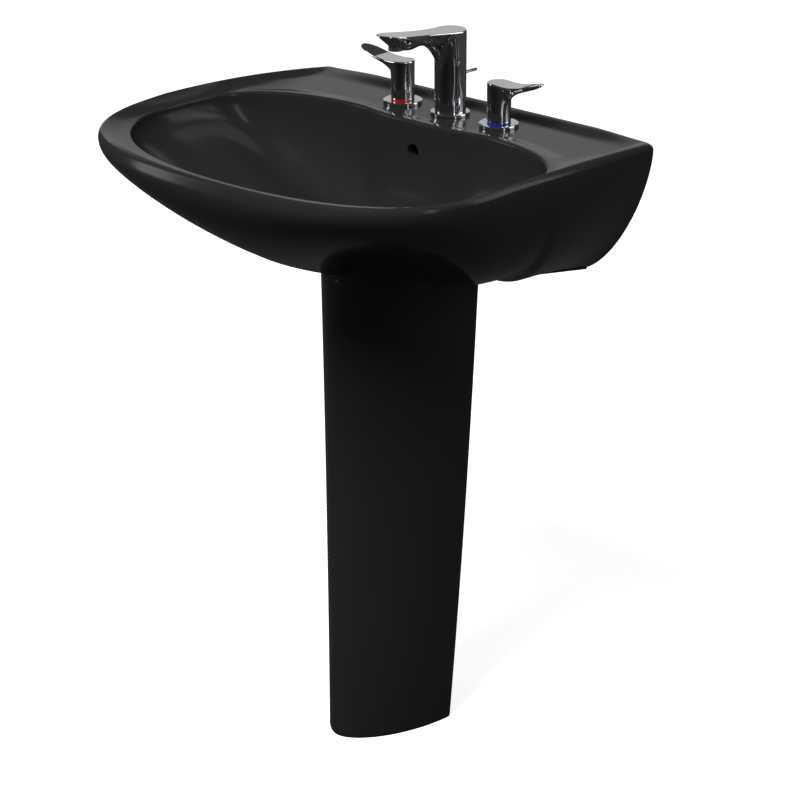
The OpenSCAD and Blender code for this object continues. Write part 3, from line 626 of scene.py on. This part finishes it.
# ---------------------------------------------------------------------------
# Chrome. Brass castings, ground, buffed and plated with nickel and chromium:
# a mirror with the faint wave that hand buffing leaves.
chrome, chrome_shader, spot = new_material("chrome_plate", Metallic=1.0)
wave = spot.node("TexNoise", Vector=spot, Scale=24.0, Detail=1.0)
haze = spot.node("TexNoise", Vector=spot, Scale=160.0, Detail=4.0)
drive(chrome_shader, "Base Color", mixed((0.76, 0.77, 0.79), (0.82, 0.83, 0.84), haze))
drive(chrome_shader, "Roughness", 0.035 + haze.clamp(0.55, 0.8) * 0.05)
drive(chrome_shader, "Normal", spot.node("Bump", Strength=0.04, Distance=0.0006, Height=wave))


def leaf_outline(half_w, reach, count):
    """Half a leaf's edge from behind the column, round one side, to the tip."""
    radius = half_w(0.0)
    quarter = math.pi / 2
    back = [(-radius * math.cos(a), radius * math.sin(a)) for a in np.linspace(0, quarter, count)]
    far = [reach * math.sin(a) for a in np.linspace(0, quarter, 2 * count)[1:]]
    return np.array(back + [(x, half_w(x)) for x in far])


def casting(base_z, radius, half_w, top, reach, depth, flare, edge=0.0012, count=24):
    """A round column that flares into a leaf: drawn along +X, its axis on the origin.

    top and depth give the height of the leaf's face and how far its body
    hangs below the face, both along X.
    """
    outline = leaf_outline(half_w, reach, count)
    x, y = outline.T
    heading = np.arctan2(y, x)
    foot = np.stack([radius * np.cos(heading), radius * np.sin(heading)], -1)
    rows = []
    for q in np.linspace(0, 1, 40):
        turn = q * math.pi / 2
        out = 1 - bend(math.cos(turn), flare)
        up = bend(math.sin(turn), flare)
        px = mix(foot[:, 0], x, out)
        py = mix(foot[:, 1], y, out)
        side = np.clip(py / np.maximum(1e-4, [half_w(v) for v in px]), 0, 1)
        hang = depth(px) * (1 - side**3) * smooth((px - radius * 0.4) / (radius * 1.2))
        rows.append(points_of(px, py, mix(base_z, top(px) - edge - 0.0004, up) - hang * up))
    for a in (30, 60, 90):
        turn = math.radians(a)
        shrink = edge * (1 - math.cos(turn))
        inward = direction(radius * 0.2 - x, -y)
        px, py = x + inward[0] * shrink, y + inward[1] * shrink
        rows.append(points_of(px, py, top(px) - edge * (1 - math.sin(turn))))
    px, py = rows[-1][:, 0], rows[-1][:, 1]
    for k in np.linspace(0.9, 0.0, 12):
        rows.append(points_of(px, py * k, top(px)))
    rows = np.array(rows)
    other = rows[:, ::-1] * (1, -1, 1)
    return rows, other


cast_angle = 50


def cast_mesh(name, halves, place, turn, base_z):
    """Turns both halves to their heading, joins them and closes the foot."""
    points = []
    faces = []
    for side, rows in enumerate(halves):
        start = len(points)
        count = rows.shape[1]
        points += list(rows.reshape(-1, 3))
        for j in range(len(rows) - 1):
            for i in range(count - 1):
                a = start + j * count + i
                faces.append((a, a + 1, a + 1 + count, a + count))
    c, s = math.cos(turn), math.sin(turn)
    points = [
        (place[0] + c * p[0] - s * p[1], place[1] + s * p[0] + c * p[1], p[2]) for p in points
    ]
    piece = link_mesh(name, points, faces, chrome, cast_angle)
    bm = bmesh.new()
    bm.from_mesh(piece.data)
    bmesh.ops.remove_doubles(bm, verts=bm.verts, dist=1e-5)
    rim = [e for e in bm.edges if e.is_boundary]
    bmesh.ops.holes_fill(bm, edges=rim, sides=0)
    bmesh.ops.dissolve_degenerate(bm, edges=bm.edges, dist=1e-6)
    bm.to_mesh(piece.data)
    bm.free()
    shade(piece, cast_angle)
    return piece


# ---------------------------------------------------------------------------
# Spout. One casting: an upright column that arches forward into a beak under
# a flat leaf-shaped face. It stands on its flange and holds the aerator.
spout_low, spout_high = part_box("spout_body")
spout_r = (spout_high.x - spout_low.x) / 2
spout_reach = faucet_y - spout_low.y
spout_top_z = deck_z + 0.119


def spout_half_w(x):
    if x < 0:
        return math.sqrt(max(0, spout_r**2 - x * x))
    u = min(1, x / spout_reach)
    waist = spout_r - 0.0055 * math.sin(math.pi * min(1, u / 0.85))
    return waist * math.sqrt(max(0, 1 - u**7))


def spout_face(x):
    return spout_top_z + 0.017 * clamp(x / spout_reach) ** 1.3


def spout_depth(x):
    u = x / spout_reach
    arch = mix(0.004, 0.019, smooth((u - 0.3) / 0.35))
    belly = arch * np.sqrt(1 - clamp((u - 0.72) / 0.28) ** 2)
    return 0.001 + belly + 0.016 * clamp((0.5 - u) / 0.5)


spout_halves = casting(
    spout_low.z, spout_r, spout_half_w, spout_face, spout_reach, spout_depth, 4.6
)
spout = cast_mesh("spout", spout_halves, (0, faucet_y), -math.pi / 2, spout_low.z)
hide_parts("spout_body")
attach(spout, "basin_and_pedestal")

# ---------------------------------------------------------------------------
# Handles. Each is a cast column with a leaf-shaped lever, held on its stem by
# a set screw at the back. They turn a quarter turn towards the front.
hot_handle_low, hot_handle_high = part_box("hot_handle")
column_r = (hot_handle_high.y - hot_handle_low.y) / 2
lever_reach = -handle_x - hot_handle_low.x
lever_top_z = hot_handle_high.z - 0.010


def lever_half_w(x):
    if x < 0:
        return math.sqrt(max(0, column_r**2 - x * x))
    return column_r * math.sqrt(max(0, 1 - (x / lever_reach) ** 4.5))


def lever_face(x):
    dip = 0.002 * np.sin(math.pi * clamp(x / 0.06))
    return lever_top_z + 0.010 * clamp(x / lever_reach) ** 2 - dip


def lever_depth(x):
    return 0.0015 + 0.005 * np.sqrt(1 - clamp(x / lever_reach) ** 3)


lever_halves = casting(
    hot_handle_low.z, column_r, lever_half_w, lever_face, lever_reach, lever_depth, 4.2
)
for name, x, turn in (("hot", -handle_x, math.pi), ("cold", handle_x, 0.0)):
    lever = cast_mesh(name + "_lever", lever_halves, (x, faucet_y), turn, hot_handle_low.z)
    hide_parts(name + "_handle")
    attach(lever, name + "_lever")

# ---------------------------------------------------------------------------
# Turned and pressed parts keep their shapes from the frame. Flanges, nuts,
# the drain and the rods are chrome, brass or steel, and get their finishes.
brass, brass_shader, spot = new_material("raw_brass", Metallic=1.0)
tarnish = spot.node("TexNoise", Vector=spot, Scale=60.0, Detail=5.0)
turning = spot.node("TexWave", {"bands_direction": "Z"}, Vector=spot, Scale=420.0, Distortion=0.3)
drive(brass_shader, "Base Color", mixed((0.50, 0.36, 0.15), (0.72, 0.56, 0.28), tarnish))
drive(brass_shader, "Roughness", 0.26 + tarnish * 0.2)
drive(brass_shader, "Normal", spot.node("Bump", Strength=0.25, Distance=0.0002, Height=turning))

steel, steel_shader, spot = new_material("plain_steel", Metallic=1.0)
grain = spot.node("TexNoise", Vector=spot, Scale=220.0, Detail=5.0)
drive(steel_shader, "Base Color", mixed((0.46, 0.46, 0.47), (0.62, 0.62, 0.63), grain))
drive(steel_shader, "Roughness", 0.26 + grain * 0.18)

rubber, rubber_shader, spot = new_material("black_rubber")
bloom = spot.node("TexNoise", Vector=spot, Scale=90.0, Detail=4.0)
drive(rubber_shader, "Base Color", mixed((0.012, 0.012, 0.012), (0.035, 0.035, 0.035), bloom))
drive(rubber_shader, "Roughness", 0.6 + bloom * 0.25)

mesh_plastic, mesh_shader, spot = new_material("dark_plastic")
mould = spot.node("TexNoise", Vector=spot, Scale=300.0, Detail=3.0)
drive(mesh_shader, "Base Color", mixed((0.03, 0.03, 0.032), (0.06, 0.06, 0.062), mould))
drive(mesh_shader, "Roughness", 0.35 + mould * 0.15)


def index_plastic(name, dark, bright):
    material, shader, spot = new_material(name, Coat_Weight=0.4)
    swirl = spot.node("TexNoise", Vector=spot, Scale=140.0, Detail=2.0)
    drive(shader, "Base Color", mixed(dark, bright, swirl))
    drive(shader, "Roughness", 0.22 + swirl * 0.1)
    return material


finishes = {
    "black_glaze": glaze,
    "chrome_plate": chrome,
    "raw_brass": brass,
    "plain_steel": steel,
    "black_rubber": rubber,
    "dark_plastic": mesh_plastic,
    "red_plastic": index_plastic("red_plastic", (0.28, 0.004, 0.004), (0.42, 0.01, 0.01)),
    "blue_plastic": index_plastic("blue_plastic", (0.006, 0.008, 0.20), (0.012, 0.018, 0.34)),
}
slots = {part["node"]: part["material_slot"] for part in frame["record"]["subparts"]}
for node, piece in frame["nodes"].items():
    piece.data.materials.clear()
    piece.data.materials.append(finishes[slots[node]])
